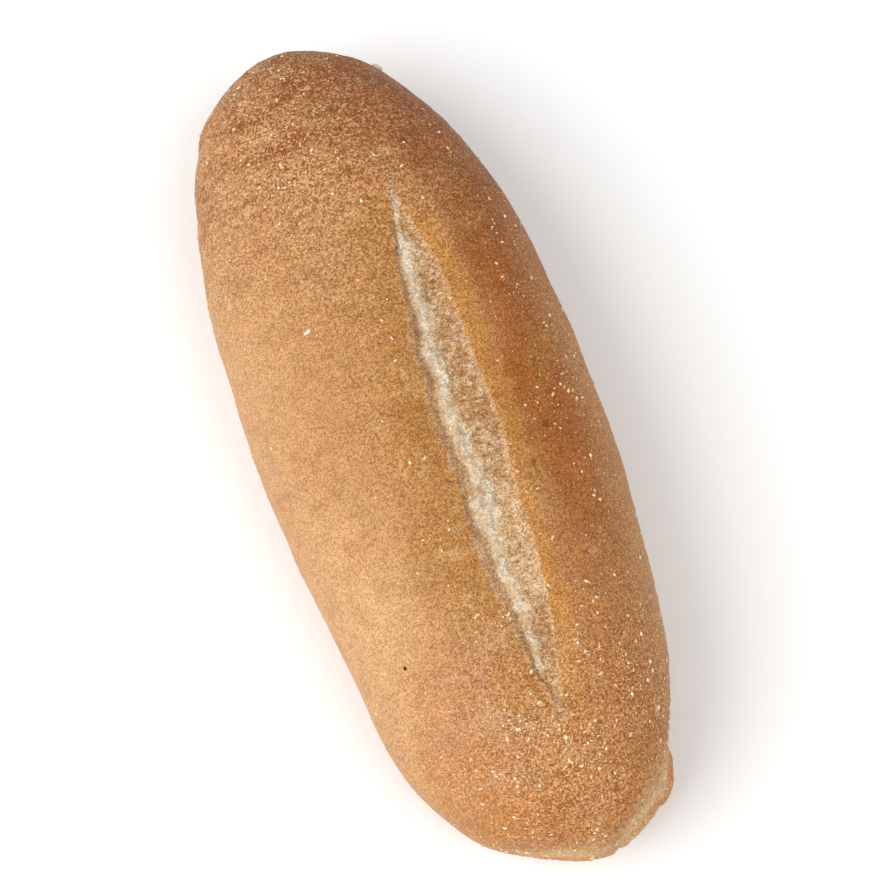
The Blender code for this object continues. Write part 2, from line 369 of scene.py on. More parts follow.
def crust_lumps(points):
    """Low relief of the crust: soft dents, wrinkles across the left flank and fine blisters."""
    x, y, z = points.T
    soft = 0.00042 * rough_noise(points, 0.024, 41, octaves=2)
    left_flank = ramp(-y, -0.004, 0.012) * (1.0 - ramp(-y, 0.028, 0.040)) * ramp(-x, -0.060, -0.030)
    wrinkles = 0.00036 * left_flank * rough_noise(points, (0.0048, 0.018, 0.018), 43, octaves=2)
    blisters = 0.00010 * rough_noise(points, 0.0024, 45)
    grain = 0.00005 * lump_noise(points, 0.0011, 47)
    return ramp(z, 0.0, 0.010) * (soft + wrinkles + blisters + grain)


def shaped(points, normals):
    """The finished surface over the plain points."""
    x, y, z = points.T
    on_crown = ramp(z, WIDEST_LEVEL, WIDEST_LEVEL + 0.5 * CROWN_RISE)
    raised = crust_lumps(points) - on_crown * slash_drop(points) - pit_marks(points)[1]
    moved = points + normals * raised[:, None]
    outline = normals * (1.0, 1.0, 0.0)
    outline /= np.linalg.norm(outline, axis=1, keepdims=True) + 1e-9
    moved += outline * split_push(points)[:, None]
    left_side, right_side = ramp(-y / HALF_WIDTH, 0.35, 0.95), ramp(y / HALF_WIDTH, 0.35, 0.95)
    moved[:, 1] = moved[:, 1] * (1.0 + hills(x, SWELLS)) + hills(x, BENDS)
    moved[:, 1] += left_side * hills(x, LEFT_DENTS) - right_side * hills(x, RIGHT_DENTS)
    return moved


def fitted(points):
    """The points moved and scaled so that their box is the solid's."""
    low, high = points.min(axis=0), points.max(axis=0)
    return ROLL_LOW + (points - low) * (ROLL_HIGH - ROLL_LOW) / (high - low)


# ---- Zones of the crust, kept as attributes for its material ------------------------------------

def crust_zones(points):
    """How strongly each point is browned, torn, floury and so on, each from 0 to 1."""
    blotch = rough_noise(points, 0.014, 55)
    return {**browning(points, blotch), **slash_zones(points),
            **split_zones(points), **strewn_zones(points),
            "pit": pit_marks(points)[0], "foot": 1.0 - ramp(points[:, 2], 0.003, 0.012)}


def ovals(points, places):
    """Soft ovals on the crown, each given as (X, Y, reach along X, reach along Y)."""
    marks = [np.exp(-((points[:, 0] - x) / along) ** 2 - ((points[:, 1] - y) / aside) ** 2)
             for x, y, along, aside in places]
    return np.max(marks, axis=0) * (points[:, 2] > WIDEST_LEVEL)


def browning(points, blotch):
    """Where the crust is deep brown, darkest, pale, golden, amber, ruddy, rosy, bronzed and smeared."""
    x, y = points[:, 0], points[:, 1]
    inward, past = slash_places(points)[:2]
    slash_near = ramp(x, -0.062, -0.038) * (1.0 - ramp(x, 0.060, 0.082))
    left_gold = (1.0 - ramp(-inward, 0.001, 0.019)) * slash_near
    right_gold = (1.0 - ramp(past + 0.0012 * blotch, 0.0015, 0.0070)) * slash_near
    from_middle = y + 0.0030 * blotch + 0.0035 * ramp(x, 0.025, 0.050)
    right_band = ramp(from_middle, 0.0145, 0.0245) * (1.0 - 0.85 * ramp(y, 0.0290, 0.0385))
    deep = right_band * (1.0 - 0.62 * ramp(x, 0.005, 0.070)) * ramp(x, -0.085, -0.045)
    end_side = ramp(0.6 * y / HALF_WIDTH - x / HALF_LENGTH, 0.55, 1.15)
    pale_left = 0.65 * ramp(-y - 0.008 * ramp(-x, -0.030, 0.0), 0.006, 0.033)
    pale_left = pale_left * (1.0 + 0.35 * ramp(x, 0.0, 0.045)) * (1.0 - ramp(-x, 0.070, 0.098))
    pale_right = 0.60 * ramp(x, 0.018, 0.070) * ramp(y, 0.016, 0.031)
    pale = np.maximum(pale_left, pale_right) + 0.07 * blotch + 0.35 * ovals(points, LIT)
    rosy = ramp(x, 0.042, 0.062) * ramp(-y, -0.002, 0.010) * (1.0 - ramp(-y, 0.020, 0.028))
    rosy = rosy * (1.0 - ramp(x, 0.080, 0.092))
    left_of_lip = past < -0.0040
    return {"deep": np.clip(deep * (1.0 + 0.10 * blotch), 0.0, 1.0), "dark": end_side,
            "pale": np.clip(pale, 0.0, 1.0),
            "gold": np.where(left_of_lip, left_gold, 0.0), "amber": np.where(left_of_lip, 0.0, right_gold),
            "ruddy": ramp(x, 0.040, 0.080) * (1.0 - 0.6 * ramp(np.abs(y), 0.018, 0.034)),
            "rosy": rosy, "bronzed": ovals(points, BRONZED), "smear": ovals(points, SMEARS)}


def slash_zones(points):
    """Where the slash shows crumb, and where that is white, creased, toasted or its right edge; the crease
    is partly painted shade, a painted shadow line runs under the left edge, and the right edge is partly a
    painted highlight.

    The amounts pass 0.5 at each border and change slowly, so that the material can tear the borders.
    """
    x, z = points[:, 0], points[:, 2]
    inward, past, crease, white = slash_places(points)
    strength = slash_strength(x)
    on_crown = ramp(z, WIDEST_LEVEL, WIDEST_LEVEL + 0.5 * CROWN_RISE)
    opened = on_crown * ramp(strength, 0.0, 0.12)
    shift = 0.00055 * rough_noise(points, (0.0040, 0.003, 0.003), 53) * ramp(strength, 0.2, 0.8)
    crumb = np.minimum(inward / 0.0032, -past / 0.0014) + 0.5
    from_crease = (inward + shift - crease) / 0.0034 + 0.5
    to_tan = (white - 0.0006 + shift - inward) / 0.0048 + 0.5
    band = 1.0 / (1.0 + np.exp(-7.0 * (np.minimum(from_crease, to_tan) - 0.5)))
    patches = 0.46 * rough_noise(points, (0.0055, 0.0036, 0.004), 57)
    faded = 0.20 * (1.0 - ramp(x, -0.054, -0.048)) + 0.20 * ramp(x, 0.056, 0.068)
    # A painted shadow: a thin dark line along the slash's left edge, under its overhang
    cut = opened * np.exp(-((inward - 0.0003) / 0.0007) ** 2) * ramp(x, -0.056, -0.044)
    cut_shown = 0.45 * ramp(x, 0.052, 0.066) + 0.30 + 0.60 * rough_noise(points, 0.007, 67)
    return {"crumb": opened * np.clip(crumb, 0.0, 1.0),
            "white": opened * np.clip((1.06 + patches) * band - faded, 0.0, 1.0),
            # The crease amount carries partly painted shade as well as the crumb's grey tint
            "crease": opened * np.clip(1.0 - from_crease, 0.0, 1.0) * ramp(x, -0.060, -0.052)
                      * (1.0 - 0.5 * ramp(x, 0.036, 0.050)),
            "cut": cut * np.clip(cut_shown, 0.0, 1.0),
            "toast": np.clip(0.78 - 0.60 * ramp(x, 0.000, 0.030) + 0.60 * ramp(x, 0.044, 0.060)
                             + 0.45 * rough_noise(points, 0.0055, 59), 0.0, 1.0),
            # The right edge: pale crumb, partly a painted highlight along the raised lip
            "edge": np.exp(-((past + 0.0003) / 0.0005) ** 2) * on_crown * ramp(strength, 0.15, 0.5)}


def split_zones(points):
    """Where the split shows its pale torn band, the golden rim of bottom crust and a flushed place on it."""
    angle = outline_angle(points) + 2.6 * rough_noise(points, 0.009, 37)
    level = split_level(points)
    opening = ramp(along_line(angle, SPLIT_OPENING), 0.05, 0.35)
    streaks = 0.10 * rough_noise(points, (0.0030, 0.0030, 0.012), 39)
    streaks = streaks + 0.10 * rough_noise(points, 0.006, 69)
    band = along_line(angle, BAND_FULLNESS) * opening * ramp(level, 0.16, 0.32)
    band = band * (1.0 - ramp(level + streaks, 0.78, 1.20))
    rim = along_line(angle, RIM_FULLNESS) * opening * ramp(level, 0.0, 0.1)
    rim = rim * (1.0 - ramp(level + streaks, 0.54, 0.74))
    flush = rim * np.exp(-((outline_angle(points) - 27.5) / 2.2) ** 2)
    return {"band": band, "rim": rim, "flush": flush}


def strewn_zones(points):
    """Where the crust is speckled with meal, streaked, coarse in grain, sandy and smeared with flour."""
    x, y, z = points.T
    near_end = ramp(x, 0.040, 0.080)
    right_side = 0.28 * ramp(y, 0.016, 0.034)
    strewn = np.maximum(near_end, right_side) * (0.75 + 0.35 * rough_noise(points, 0.010, 65))
    coarse_ends = np.maximum(1.20 * ramp(-x, 0.012, 0.080),
                             1.10 * near_end * (1.0 - 0.85 * ramp(-y, 0.006, 0.022)))
    coarse_middle = 0.60 * (1.0 - ramp(-y, 0.010, 0.024)) * (1.0 - near_end)
    return {"strewn": np.clip(strewn, 0.0, 1.0) * ramp(z, 0.004, 0.012),
            "streaky": ramp(-x, 0.040, 0.078),
            "coarse": np.clip(coarse_ends + coarse_middle, 0.0, 1.6),
            "sandy": 1.0 - 0.50 * ramp(y, 0.006, 0.020), "floury": ovals(points, FLOURY)}


# ---- Materials -------------------------------------------------------------------------------

def color(red, green, blue):
    """A colour given as it looks on screen, from 0 to 255, turned into a shader's linear values."""
    screen = [value / 255 for value in (red, green, blue)]
    linear = [c / 12.92 if c <= 0.04045 else ((c + 0.055) / 1.055) ** 2.4 for c in screen]
    return (*linear, 1.0)


class Nodes:
    """A material's node tree with short ways to add and join nodes."""

    def __init__(self, name):
        self.material = bpy.data.materials.new(name)
        self.material.use_nodes = True
        self.tree = self.material.node_tree
        self.shader = self.tree.nodes["Principled BSDF"]
        coordinates = self.tree.nodes.new("ShaderNodeTexCoord")
        self.place = coordinates.outputs["Object"]

    def link(self, source, socket):
        """Joins an output to an input, or sets the input to a plain value."""
        if isinstance(source, bpy.types.NodeSocket):
            self.tree.links.new(source, socket)
        else:
            socket.default_value = source

    def attribute(self, name):
        node = self.tree.nodes.new("ShaderNodeAttribute")
        node.attribute_name = name
        return node.outputs["Fac"]

    def noise(self, size, detail=3.0, roughness=0.55, place=None):
        """Noise from 0 to 1 whose lumps are about this size in metres."""
        node = self.tree.nodes.new("ShaderNodeTexNoise")
        node.inputs["Scale"].default_value = 1.0 / size
        node.inputs["Detail"].default_value = detail
        node.inputs["Roughness"].default_value = roughness
        self.link(place or self.place, node.inputs["Vector"])
        return node.outputs["Fac"]

    def dots(self, spacing, radius, chance):
        """Round dots, 1 at their middle, in this share of the cells spaced about this far apart."""
        node = self.tree.nodes.new("ShaderNodeTexVoronoi")
        node.inputs["Scale"].default_value = 1.0 / spacing
        self.link(self.place, node.inputs["Vector"])
        apart = self.tree.nodes.new("ShaderNodeSeparateColor")
        self.link(node.outputs["Color"], apart.inputs["Color"])
        reach = self.ramp(node.outputs["Distance"], 0.5 * radius / spacing, radius / spacing, 1.0, 0.0)
        here = self.math("GREATER_THAN", self.math("ADD", apart.outputs["Red"], chance), 1.0)
        return self.math("MULTIPLY", reach, here)

    def cells(self, spacing):
        """A different amount from 0 to 1 for every small cell of about this size."""
        node = self.tree.nodes.new("ShaderNodeTexVoronoi")
        node.inputs["Scale"].default_value = 1.0 / spacing
        self.link(self.place, node.inputs["Vector"])
        apart = self.tree.nodes.new("ShaderNodeSeparateColor")
        self.link(node.outputs["Color"], apart.inputs["Color"])
        return apart.outputs["Green"]

    def spot(self, middle, radius):
        """One round spot at a place, 1 at its middle."""
        node = self.tree.nodes.new("ShaderNodeVectorMath")
        node.operation = "DISTANCE"
        self.link(self.place, node.inputs[0])
        node.inputs[1].default_value = middle
        return self.ramp(node.outputs["Value"], 0.6 * radius, 1.2 * radius, 1.0, 0.0)

    def torn(self, amount, ragged, spread, soft=0.12):
        """An amount from 0 to 1 made to change sharply where it passes 0.5, along a ragged border."""
        shift = self.math("MULTIPLY", self.math("SUBTRACT", ragged, 0.5), spread)
        return self.ramp(self.math("ADD", amount, shift), 0.5 - soft, 0.5 + soft)

    def stretched(self, factors):
        """The place with each axis multiplied, which lengthens lumps along an axis of small factor."""
        node = self.tree.nodes.new("ShaderNodeVectorMath")
        node.operation = "MULTIPLY"
        self.link(self.place, node.inputs[0])
        node.inputs[1].default_value = factors
        return node.outputs["Vector"]

    def ramp(self, value, low, high, to_low=0.0, to_high=1.0):
        """Maps low..high smoothly to to_low..to_high."""
        node = self.tree.nodes.new("ShaderNodeMapRange")
        node.interpolation_type = "SMOOTHSTEP"
        self.link(value, node.inputs["Value"])
        for name, number in (("From Min", low), ("From Max", high),
                             ("To Min", to_low), ("To Max", to_high)):
            node.inputs[name].default_value = number
        return node.outputs["Result"]

    def math(self, operation, first, second=0.0):
        node = self.tree.nodes.new("ShaderNodeMath")
        node.operation = operation
        self.link(first, node.inputs[0])
        self.link(second, node.inputs[1])
        return node.outputs["Value"]

    def grey(self, value):
        """A grey colour of the given brightness."""
        node = self.tree.nodes.new("ShaderNodeCombineColor")
        for name in ("Red", "Green", "Blue"):
            self.link(value, node.inputs[name])
        return node.outputs["Color"]

    def mix(self, share, first, second, blend="MIX"):
        """Colours mixed by share, or blended in another way with that strength."""
        node = self.tree.nodes.new("ShaderNodeMix")
        node.data_type = "RGBA"
        node.blend_type = blend
        self.link(share, node.inputs["Factor"])
        self.link(first, node.inputs[6])
        self.link(second, node.inputs[7])
        return node.outputs[2]

    def layer(self, under, amount, share, over):
        """A colour laid over another where the amount is high, as strongly as share says."""
        return self.mix(self.math("MULTIPLY", amount, share), under, over)

    def bumps(self, height, distance, strength=1.0, under=None):
        """A normal bent by a height from 0 to 1, that stands for this many metres."""
        node = self.tree.nodes.new("ShaderNodeBump")
        node.inputs["Distance"].default_value = distance
        node.inputs["Strength"].default_value = strength
        self.link(height, node.inputs["Height"])
        if under is not None:
            self.link(under, node.inputs["Normal"])
        return node.outputs["Normal"]


TAN_CRUST = color(184, 132, 84)
PALE_CRUST = color(205, 160, 114)
GOLD_CRUST = color(176, 122, 62)
AMBER_CRUST = color(194, 134, 66)
DEEP_CRUST = color(157, 86, 26)
DARK_CRUST = color(141, 84, 43)
RUDDY_CRUST = color(179, 113, 57)
ORANGE_CRUST = color(190, 121, 66)
OLIVE_CRUST = color(176, 134, 72)
BOTTOM_CRUST = color(174, 118, 62)
RIM_CRUST = color(198, 122, 48)
FLUSHED_CRUST = color(200, 100, 38)
BRONZE_CRUST = color(159, 106, 41)
ROSY_CRUST = color(186, 138, 108)
TORN_BAND = color(214, 176, 124)
STREAK_BROWN = color(150, 84, 38)
SCUFF = color(212, 172, 128)
TOASTED_CRUMB = color(169, 124, 78)
PALE_CRUMB = color(194, 156, 110)
CREAM_CRUMB = color(192, 164, 127)
WHITE_CRUMB = color(209, 196, 173)
# Grey of the slash's crease: partly the crumb's own lavender-grey tint, partly painted shade on the wall
# that faces away from the key light
CREASE_GREY_AND_SHADE = color(180, 142, 106)
# Painted shade: the dark shadow line under the slash's left edge, and the dark gaps between the crease's
# fibres
PAINTED_SHADE_BROWN = color(132, 82, 48)
# Pale right edge of the slash: partly its pale cut crumb, partly a painted highlight on the raised lip
EDGE_CRUMB_AND_HIGHLIGHT = color(202, 158, 112)
CRUMB_BROWN = color(140, 86, 38)
CRUMB_CREAM = color(218, 198, 172)
GRAIN_DARK = (0.70, 0.62, 0.48, 1.0)     # the tints between which the crust's fine grain changes
GRAIN_LIGHT = (1.30, 1.38, 1.52, 1.0)
SPECK_PALE = color(240, 208, 162)
SPECK_DARK = color(112, 62, 30)
# Inside the small pits: partly darker brown crust, partly painted shade in the hollows
PIT_BROWN_AND_SHADE = color(126, 70, 28)
SPECK_BLACK = color(34, 24, 18)


def browned_crust(nodes):
    """The colour of whole crust, before its fine grain."""
    gold = nodes.attribute("gold")
    crust = nodes.layer(TAN_CRUST, nodes.attribute("pale"), 1.0, PALE_CRUST)
    for name, share, over in (("ruddy", 0.8, RUDDY_CRUST), ("gold", 0.85, GOLD_CRUST),
                              ("deep", 0.9, DEEP_CRUST), ("amber", 0.9, AMBER_CRUST),
                              ("dark", 0.9, DARK_CRUST), ("foot", 0.8, BOTTOM_CRUST),
                              ("band", 0.9, TORN_BAND), ("rim", 0.9, RIM_CRUST),
                              ("bronzed", 0.45, BRONZE_CRUST), ("flush", 0.4, FLUSHED_CRUST)):
        crust = nodes.layer(crust, nodes.attribute(name), share, over)
    warmth = nodes.noise(0.0110, detail=2.0)
    crust = nodes.layer(crust, nodes.ramp(warmth, 0.52, 0.70), 0.24, ORANGE_CRUST)
    crust = nodes.layer(crust, nodes.ramp(warmth, 0.46, 0.30), 0.24, OLIVE_CRUST)
    mottled = nodes.noise(0.0036, detail=3.0, roughness=0.6)
    browner = nodes.math("MULTIPLY", nodes.ramp(mottled, 0.52, 0.66), gold)
    crust = nodes.layer(crust, browner, 0.24, STREAK_BROWN)
    paler = nodes.math("MULTIPLY", nodes.ramp(mottled, 0.46, 0.32), gold)
    crust = nodes.layer(crust, paler, 0.26, SCUFF)
    pink = nodes.ramp(nodes.noise(0.0060, detail=3.0), 0.40, 0.60, 0.06, 0.38)
    crust = nodes.layer(crust, nodes.attribute("rosy"), pink, ROSY_CRUST)
    across = nodes.stretched((1.0, 0.35, 0.35))
    streaky = nodes.attribute("streaky")
    clouds = nodes.ramp(nodes.noise(0.0085, detail=2.0, place=across), 0.50, 0.62)
    crust = nodes.layer(crust, nodes.math("MULTIPLY", clouds, streaky), 0.46, STREAK_BROWN)
    broad = nodes.ramp(nodes.noise(0.0042, detail=3.0, place=across), 0.53, 0.68)
    crust = nodes.layer(crust, broad, nodes.ramp(streaky, 0.0, 1.0, 0.20, 0.72), STREAK_BROWN)
    fine_streaks = nodes.ramp(nodes.noise(0.0017, detail=4.0, roughness=0.65, place=across), 0.50, 0.62)
    crust = nodes.layer(crust, nodes.math("MULTIPLY", fine_streaks, streaky), 0.60, STREAK_BROWN)
    lines = nodes.noise(0.0030, detail=2.0, place=across)
    lines = nodes.math("ABSOLUTE", nodes.math("SUBTRACT", lines, 0.5))
    wisps = nodes.math("MULTIPLY", nodes.ramp(lines, 0.0, 0.018, 1.0, 0.0),
                       nodes.ramp(nodes.noise(0.0040, detail=1.0), 0.50, 0.62))
    crust = nodes.layer(crust, nodes.math("MULTIPLY", wisps, streaky), 0.45, SCUFF)
    broken = nodes.noise(0.0009, detail=2.0)
    crust = nodes.layer(crust, nodes.torn(nodes.attribute("smear"), broken, 0.9, 0.25), 0.55, STREAK_BROWN)
    scuffed = nodes.math("MULTIPLY", nodes.ramp(nodes.noise(0.0095, detail=4.0, roughness=0.6), 0.57, 0.70),
                         nodes.ramp(nodes.noise(0.0012, detail=2.0), 0.40, 0.60))
    crust = nodes.layer(crust, scuffed, 0.30, SCUFF)
    return nodes.layer(crust, nodes.torn(nodes.attribute("floury"), broken, 1.4, 0.45), 0.30, SCUFF)


def torn_crumb(nodes):
    """The colour of the crumb inside the slash, before its fine grain."""
    strands = nodes.stretched((1.0, 0.45, 0.45))
    toast = nodes.attribute("toast")
    crumb = nodes.mix(toast, PALE_CRUMB, TOASTED_CRUMB)
    mottle = nodes.noise(0.00075, detail=2.5, roughness=0.75, place=strands)
    crumb = nodes.layer(crumb, nodes.ramp(mottle, 0.46, 0.33), 0.55, CRUMB_BROWN)
    crumb = nodes.layer(crumb, nodes.ramp(mottle, 0.52, 0.64), nodes.ramp(toast, 0.0, 1.0, 0.54, 0.48),
                        CRUMB_CREAM)
    flushed = nodes.noise(0.0032, detail=2.5, roughness=0.6)
    crumb = nodes.layer(crumb, nodes.ramp(flushed, 0.54, 0.66), 0.40, CRUMB_BROWN)
    crumb = nodes.layer(crumb, nodes.ramp(flushed, 0.47, 0.34), nodes.ramp(toast, 0.0, 1.0, 0.40, 0.34),
                        CRUMB_CREAM)
    # The crease: greyer crumb, partly its own tint and partly painted shade, with painted shade in the gaps
    # between its fibres
    crease = nodes.attribute("crease")
    downy = nodes.noise(0.0017, detail=3.0, roughness=0.6, place=strands)
    crumb = nodes.layer(crumb, nodes.torn(crease, downy, 1.2, 0.46), 0.72, CREASE_GREY_AND_SHADE)
    fibres = nodes.noise(0.0007, detail=3.0, roughness=0.75, place=strands)
    pale_fibres = nodes.math("MULTIPLY", nodes.ramp(fibres, 0.52, 0.64), crease)
    crumb = nodes.layer(crumb, pale_fibres, 0.50, CREAM_CRUMB)
    # Painted shade in the gaps between the crease's fibres
    shaded_gaps = nodes.math("MULTIPLY", nodes.ramp(fibres, 0.46, 0.36), crease)
    crumb = nodes.layer(crumb, shaded_gaps, 0.35, PAINTED_SHADE_BROWN)
    ragged = nodes.noise(0.0016, detail=3.5, roughness=0.68, place=strands)
    white = nodes.attribute("white")
    crumb = nodes.layer(crumb, nodes.torn(white, ragged, 1.3, 0.30), 0.85, CREAM_CRUMB)
    cloudy = nodes.noise(0.0034, detail=3.0, roughness=0.6)
    whitest = nodes.torn(nodes.math("MULTIPLY", white, 0.63), cloudy, 2.0, 0.26)
    return nodes.layer(crumb, whitest, 0.90, WHITE_CRUMB)


def crust_material():
    nodes = Nodes("crust")
    ragged = nodes.noise(0.0010, detail=3.0, roughness=0.65)
    opened = nodes.torn(nodes.attribute("crumb"), ragged, 0.9, 0.22)
    surface = nodes.mix(opened, browned_crust(nodes), torn_crumb(nodes))
    # Pale dotted right edge of the slash, partly a painted highlight on its lip
    edge_and_highlight = nodes.torn(nodes.attribute("edge"), nodes.noise(0.0008, detail=2.0), 1.2, 0.25)
    surface = nodes.layer(surface, edge_and_highlight, 0.45, EDGE_CRUMB_AND_HIGHLIGHT)
    # Painted shadow along the slash's left edge, under its overhang
    cut = nodes.torn(nodes.attribute("cut"), nodes.noise(0.0013, detail=3.0), 1.3, 0.40)
    surface = nodes.layer(surface, cut, 0.48, PAINTED_SHADE_BROWN)
    # The pits are painted dark: partly darker crust, partly painted shade in the hollows
    pitted_and_shaded = nodes.torn(nodes.attribute("pit"), nodes.noise(0.0006), 1.4, 0.2)
    surface = nodes.layer(surface, pitted_and_shaded, 0.70, PIT_BROWN_AND_SHADE)

    strewn = nodes.attribute("strewn")
    blotches = nodes.ramp(nodes.noise(0.0050, detail=3.0), 0.25, 0.75, 0.93, 1.07)
    surface = nodes.mix(1.0, surface, nodes.grey(blotches), blend="MULTIPLY")
    grit = nodes.noise(0.00060, detail=2.0, roughness=0.65)
    fine = nodes.cells(0.00029)
    grain = nodes.math("ADD", nodes.math("MULTIPLY", nodes.math("SUBTRACT", grit, 0.5), 0.46),
                       nodes.math("MULTIPLY", nodes.math("SUBTRACT", fine, 0.5), 0.84))
    coarse = nodes.attribute("coarse")
    rough = nodes.math("SUBTRACT", nodes.math("ADD", coarse, 1.0), nodes.attribute("white"))
    grain = nodes.math("MULTIPLY", grain, rough)
    tint = nodes.mix(nodes.ramp(grain, -0.57, 0.57), GRAIN_DARK, GRAIN_LIGHT)
    surface = nodes.mix(1.0, surface, tint, blend="MULTIPLY")

    sand = nodes.cells(0.00044)
    sandy = nodes.math("MULTIPLY", coarse, nodes.attribute("sandy"))
    pale_sand = nodes.math("MULTIPLY", nodes.ramp(sand, 0.76, 0.92), sandy)
    surface = nodes.layer(surface, pale_sand, 0.27, SPECK_PALE)
    dark_sand = nodes.math("MULTIPLY", nodes.ramp(sand, 0.32, 0.12), coarse)
    surface = nodes.layer(surface, dark_sand, 0.42, SPECK_DARK)
    flecks = nodes.math("MULTIPLY", nodes.ramp(nodes.noise(0.00060, detail=1.5), 0.56, 0.66), strewn)
    pale_dots = nodes.dots(0.00130, 0.00034, 0.45)
    # Dark dots, thicker where meal lies: partly dark specks of the crust, partly painted shade standing in
    # for the dark rims round the grains
    dark_dots_and_shade = nodes.dots(0.00120, 0.00024, 0.30)
    surface = nodes.layer(surface, flecks, 0.34, SPECK_PALE)
    surface = nodes.layer(surface, pale_dots, nodes.ramp(strewn, 0.0, 0.7, 0.12, 0.65), SPECK_PALE)
    surface = nodes.layer(surface, dark_dots_and_shade, nodes.ramp(strewn, 0.0, 0.8, 0.12, 0.55), SPECK_DARK)
    surface = nodes.mix(nodes.spot(BLACK_SPECK, BLACK_SPECK_RADIUS), surface, SPECK_BLACK)

    nodes.link(surface, nodes.shader.inputs["Base Color"])
    nodes.link(nodes.ramp(blotches, 0.93, 1.07, 0.52, 0.66), nodes.shader.inputs["Roughness"])
    nodes.shader.inputs["Specular IOR Level"].default_value = 0.15
    relief = nodes.bumps(grit, 0.00022)
    relief = nodes.bumps(pale_dots, 0.00012, under=relief)
    nodes.link(relief, nodes.shader.inputs["Normal"])
    return nodes.material


def grain_material(name, light, dark):
    """Meal whose grains differ in tint, from light to dark."""
    nodes = Nodes(name)
    tint = nodes.noise(0.0016, detail=1.0)
    surface = nodes.mix(nodes.ramp(tint, 0.40, 0.66), light, dark)
    fine = nodes.noise(0.00025, detail=2.0)
    surface = nodes.mix(1.0, surface, nodes.grey(nodes.ramp(fine, 0.3, 0.7, 0.86, 1.08)), blend="MULTIPLY")
    nodes.link(surface, nodes.shader.inputs["Base Color"])
    nodes.link(nodes.ramp(fine, 0.3, 0.7, 0.30, 0.50), nodes.shader.inputs["Roughness"])
    nodes.link(nodes.bumps(fine, 0.00008), nodes.shader.inputs["Normal"])
    return nodes.material


def floor_material():
    nodes = Nodes("pale_floor")
    tint = nodes.noise(0.30, detail=2.0)
    surface = nodes.mix(nodes.ramp(tint, 0.3, 0.7), color(250, 250, 249), color(252, 252, 252))
    nodes.link(surface, nodes.shader.inputs["Base Color"])
    nodes.shader.inputs["Roughness"].default_value = 0.9
    return nodes.material


# ---- Pieces ----------------------------------------------------------------------------------

def new_piece(name, points, faces, material, attributes=None):
    """A smooth mesh object made from arrays of points and faces."""
    mesh = bpy.data.meshes.new(name)
    mesh.from_pydata(points.tolist(), [], faces.tolist())
    for key, values in (attributes or {}).items():
        layer = mesh.attributes.new(key, "FLOAT", "POINT")
        layer.data.foreach_set("value", np.asarray(values, dtype=np.float32))
    mesh.update()
    mesh.shade_smooth()
    mesh.materials.append(material)
    piece = bpy.data.objects.new(name, mesh)
    bpy.context.scene.collection.objects.link(piece)
    return piece


def thin_out_underside(piece, low_level, high_level, triangles):
    """Joins small faces of the flat underside, where nothing fine shows, until few enough are left."""
    group = piece.vertex_groups.new(name="underside")
    heights = np.empty(len(piece.data.vertices) * 3)
    piece.data.vertices.foreach_get("co", heights)
    weights = 1.0 - ramp(heights.reshape(-1, 3)[:, 2], low_level, high_level)
    for index in np.nonzero(weights > 0.01)[0]:
        group.add([int(index)], float(weights[index]), "REPLACE")
    modifier = piece.modifiers.new("thin_out", "DECIMATE")
    modifier.ratio = triangles / (2 * len(piece.data.polygons))
    modifier.vertex_group = group.name
    thinned = bpy.data.meshes.new_from_object(piece.evaluated_get(bpy.context.evaluated_depsgraph_get()))
    piece.modifiers.clear()
    piece.vertex_groups.clear()
    piece.data = thinned
    thinned.name = piece.name


def make_crust():
    points, quads = crust_grid()
    finished = fitted(shaped(points, plain_normals(points)))
    piece = new_piece("crust", finished, quads, crust_material(), crust_zones(points))
    thin_out_underside(piece, 0.001, 0.004, CRUST_TRIANGLES)
    return piece


def grain_shape(subdivisions):
    """Points and faces of a small ball."""
    bm = bmesh.new()
    bmesh.ops.create_icosphere(bm, subdivisions=subdivisions, radius=0.5)
    points = np.array([vertex.co[:] for vertex in bm.verts])
    faces = np.array([[vertex.index for vertex in face.verts] for face in bm.faces])
    bm.free()
    return points, faces


# Where meal lies thickest: (middle X, middle Y, reach along X, reach along Y, how thick)
GRAIN_PATCHES = ((0.080, -0.003, 0.010, 0.012, 1.90), (0.068, 0.022, 0.015, 0.012, 0.50),
                 (0.097, -0.008, 0.006, 0.018, 0.55), (0.075, 0.037, 0.012, 0.006, 0.60),
                 (-0.002, 0.033, 0.055, 0.010, 0.14), (-0.068, -0.011, 0.014, 0.008, 0.45),
                 (-0.095, -0.012, 0.008, 0.012, 0.30), (0.047, -0.006, 0.015, 0.009, 0.30))


def grain_density(points):
    """How thickly grains lie on the crust, from 0 to about 1."""
    x, y, z = points.T
    density = 0.05 * np.ones(len(points))
    for middle_x, middle_y, reach_x, reach_y, thick in GRAIN_PATCHES:
        density += thick * np.exp(-((x - middle_x) / reach_x) ** 2 - ((y - middle_y) / reach_y) ** 2)
    clumps = 0.60 + 0.90 * lump_noise(points, 0.006, 61)
    return density * np.clip(clumps, 0.06, 1.5) * ramp(z, 0.006, 0.020)


def crust_triangles(crust):
    """The corners of the crust's triangles, three points each."""
    mesh = crust.data
    mesh.calc_loop_triangles()
    corners = np.empty(len(mesh.loop_triangles) * 3, dtype=np.int32)
    mesh.loop_triangles.foreach_get("vertices", corners)
    places = np.empty(len(mesh.vertices) * 3)
    mesh.vertices.foreach_get("co", places)
    return places.reshape(-1, 3)[corners.reshape(-1, 3)]


